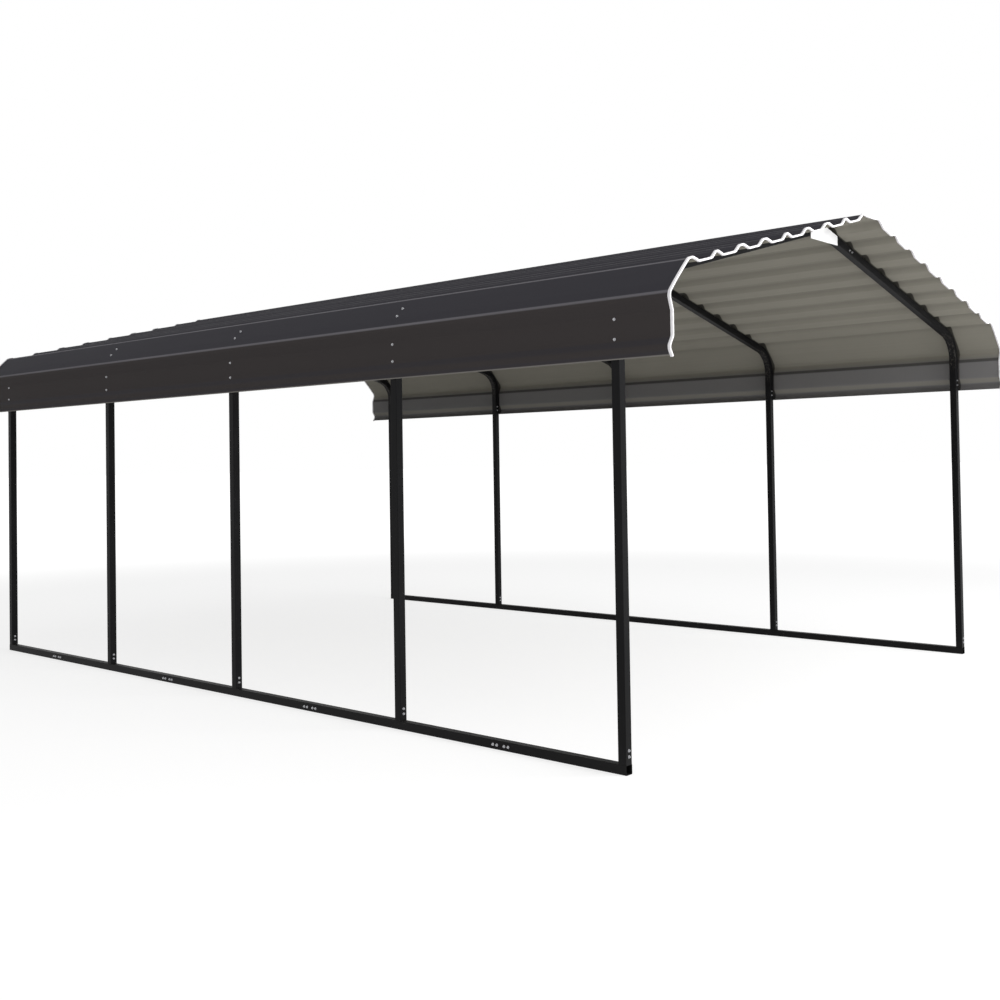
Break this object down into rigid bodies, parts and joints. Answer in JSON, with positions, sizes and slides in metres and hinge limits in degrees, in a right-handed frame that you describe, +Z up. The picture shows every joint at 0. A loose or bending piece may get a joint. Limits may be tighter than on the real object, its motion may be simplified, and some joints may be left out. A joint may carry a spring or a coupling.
{
  "type": "open steel carport",
  "caption": "Open-sided steel carport with square-tube frames on ground rails and a corrugated sheet roof bent down over each eave.",
  "frame": {"origin": "centre of the base, on the ground under the rails", "axes": "+X across the drive, -Y towards the front with the plaque, +Z up"},
  "size_m": [3.7158, 5.988, 2.5208],
  "materials": {
    "frame": "satin black enamel",
    "roof": "charcoal baked enamel outside, warm grey back coat",
    "trim": "smooth white",
    "plaque": "smooth white",
    "fasteners": "zinc plate, on the visual model's screws"
  },
  "bodies": {
    "root": {"left_base_rail_1": "frame", "left_base_rail_2": "frame", "left_base_rail_3": "frame", "left_base_rail_4": "frame", "left_base_rail_5": "frame", "right_base_rail_1": "frame", "right_base_rail_2": "frame", "right_base_rail_3": "frame", "right_base_rail_4": "frame", "right_base_rail_5": "frame", "left_post_1": "frame", "left_post_2": "frame", "left_post_3": "frame", "left_post_4": "frame", "left_post_5": "frame", "right_post_1": "frame", "right_post_2": "frame", "right_post_3": "frame", "right_post_4": "frame", "right_post_5": "frame", "left_bow_1": "frame", "left_bow_2": "frame", "left_bow_3": "frame", "left_bow_4": "frame", "left_bow_5": "frame", "right_bow_1": "frame", "right_bow_2": "frame", "right_bow_3": "frame", "right_bow_4": "frame", "right_bow_5": "frame", "peak_1": "frame", "peak_2": "frame", "peak_3": "frame", "peak_4": "frame", "peak_5": "frame", "left_eave_panel": "roof", "left_lower_panel": "roof", "left_upper_panel": "roof", "right_eave_panel": "roof", "right_lower_panel": "roof", "right_upper_panel": "roof", "ridge_panel": "roof", "front_edge_trim": "trim", "rear_edge_trim": "trim", "front_plaque": "plaque"}
  },
  "joints": []
}
